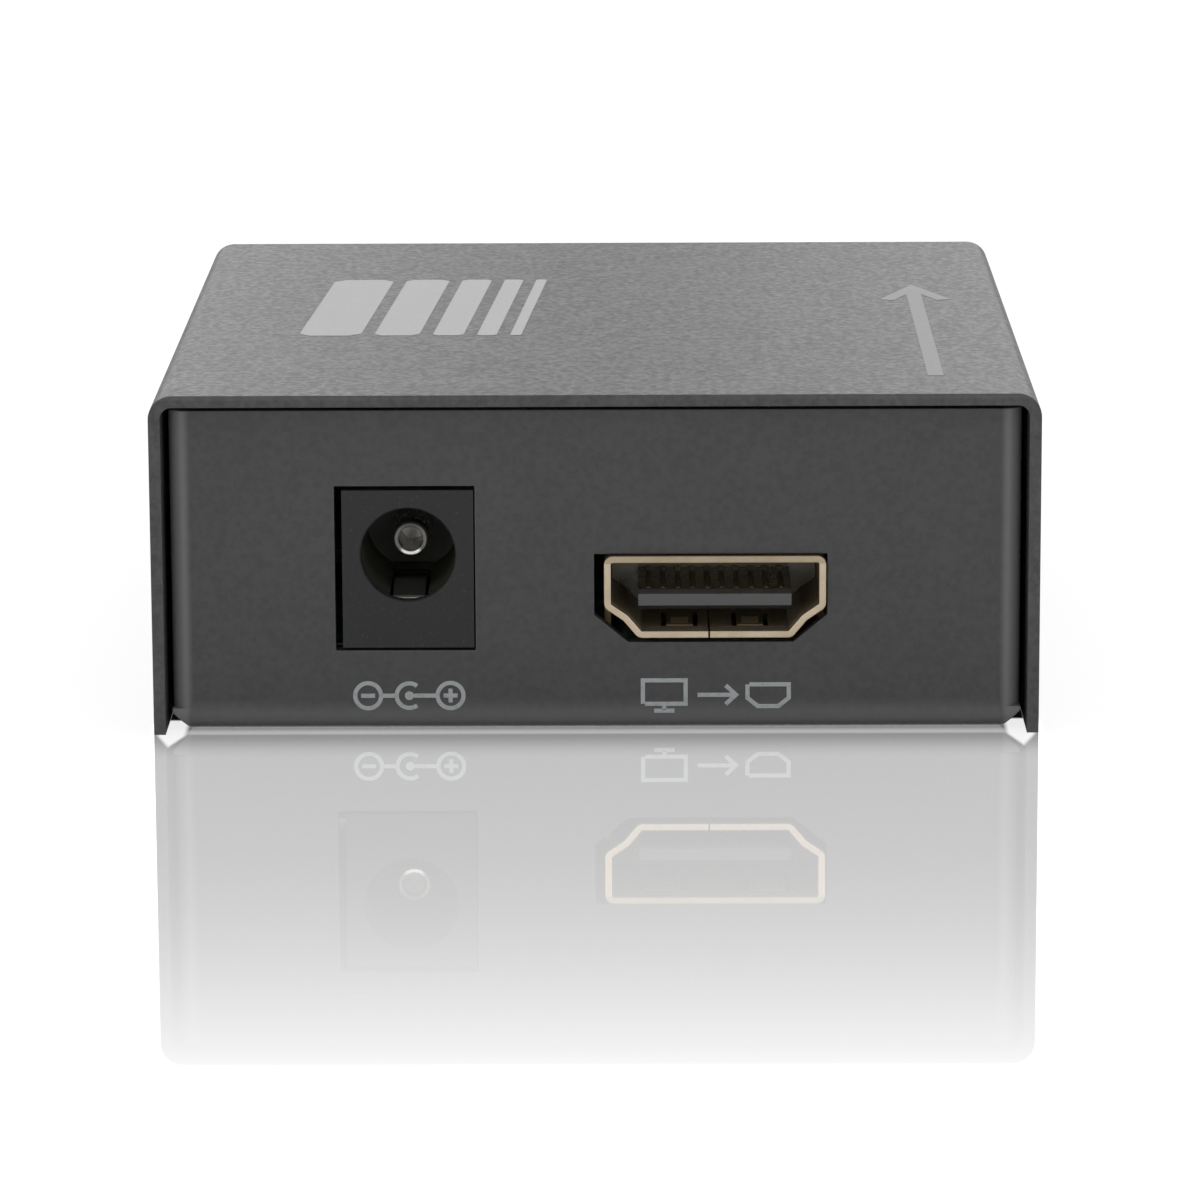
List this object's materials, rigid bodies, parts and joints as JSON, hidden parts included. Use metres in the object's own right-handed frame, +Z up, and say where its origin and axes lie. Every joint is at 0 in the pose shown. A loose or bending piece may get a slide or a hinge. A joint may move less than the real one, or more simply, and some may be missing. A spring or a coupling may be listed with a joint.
{
  "type": "hdmi extender",
  "caption": "Small folded steel video extender box with a DC inlet and a video socket in front and a network socket and status lamp behind.",
  "frame": {"origin": "middle of the underside, on the surface that the box stands on", "axes": "+Z up, +X to the right seen from the front, and the front panel with the DC inlet and the video socket faces -Y"},
  "size_m": [0.06, 0.062, 0.0234],
  "materials": {
    "cover_coat": "fine textured dark grey powder coat on steel",
    "chassis_coat": "fine satin dark grey powder coat on steel",
    "black_screw": "black zinc on steel",
    "zinc_steel": "bright zinc plate",
    "board_laminate": "glass fibre laminate under green solder mask",
    "gold_plate": "gold plate on a stamped sheet",
    "contact_gold": "gold plate on spring bronze",
    "black_moulding": "black glass filled nylon",
    "jack_moulding": "black moulded plastic, faintly glossy",
    "nickel_plate": "nickel plate on brass",
    "shield_steel": "tinned sheet",
    "green_lens": "clear green moulding",
    "amber_lens": "clear amber moulding",
    "tinned_lead": "tin plate",
    "chip_resin": "black moulded resin",
    "pad_silicone": "soft grey silicone",
    "anodised_aluminium": "black anodised extrusion",
    "ferrite": "dark grey ferrite",
    "capacitor_can": "bare drawn can",
    "tan_ceramic": "tan ceramic"
  },
  "bodies": {
    "case": {"top_cover": "cover_coat", "base_chassis": "chassis_coat", "cover_screws": "black_screw", "board_standoffs": "zinc_steel", "board_screws": "zinc_steel", "circuit_board": "board_laminate", "video_socket_shell": "gold_plate", "video_socket_insulator": "black_moulding", "video_socket_contacts": "contact_gold", "dc_jack_housing": "jack_moulding", "dc_jack_pin": "nickel_plate", "dc_jack_sleeve_terminal": "nickel_plate", "dc_jack_switch_contact": "nickel_plate", "network_jack_shield": "shield_steel", "network_jack_housing": "black_moulding", "network_jack_comb": "black_moulding", "network_jack_tails": "contact_gold", "link_lamp": "green_lens", "activity_lamp": "amber_lens", "status_lamp": "green_lens", "status_lamp_leads": "tinned_lead", "main_chip": "chip_resin", "main_chip_leads": "tinned_lead", "thermal_pad": "pad_silicone", "heat_sink": "anodised_aluminium", "voltage_regulator": "chip_resin", "power_inductor": "ferrite", "electrolytic_capacitors": "capacitor_can", "ceramic_capacitors": "tan_ceramic", "chip_resistors": "chip_resin", "crystal_can": "zinc_steel", "memory_chip": "chip_resin", "surge_arrays": "chip_resin", "line_chokes": "ferrite"},
    "dc_spring": {"dc_jack_sleeve_spring": "nickel_plate"},
    "network_springs": {"network_jack_springs": "contact_gold"}
  },
  "joints": [
    {"name": "dc_spring_flex", "type": "hinge", "parent": "case", "child": "dc_spring", "pos_m": [-0.01268, -0.019, 0.0083], "axis": [1, 0, 0], "range_deg": [0, 5], "stiffness_Nm_per_rad": 0.3},
    {"name": "network_springs_flex", "type": "hinge", "parent": "case", "child": "network_springs", "pos_m": [-0.006, 0.02755, 0.00895], "axis": [1, 0, 0], "range_deg": [0, 12], "stiffness_Nm_per_rad": 0.36}
  ]
}
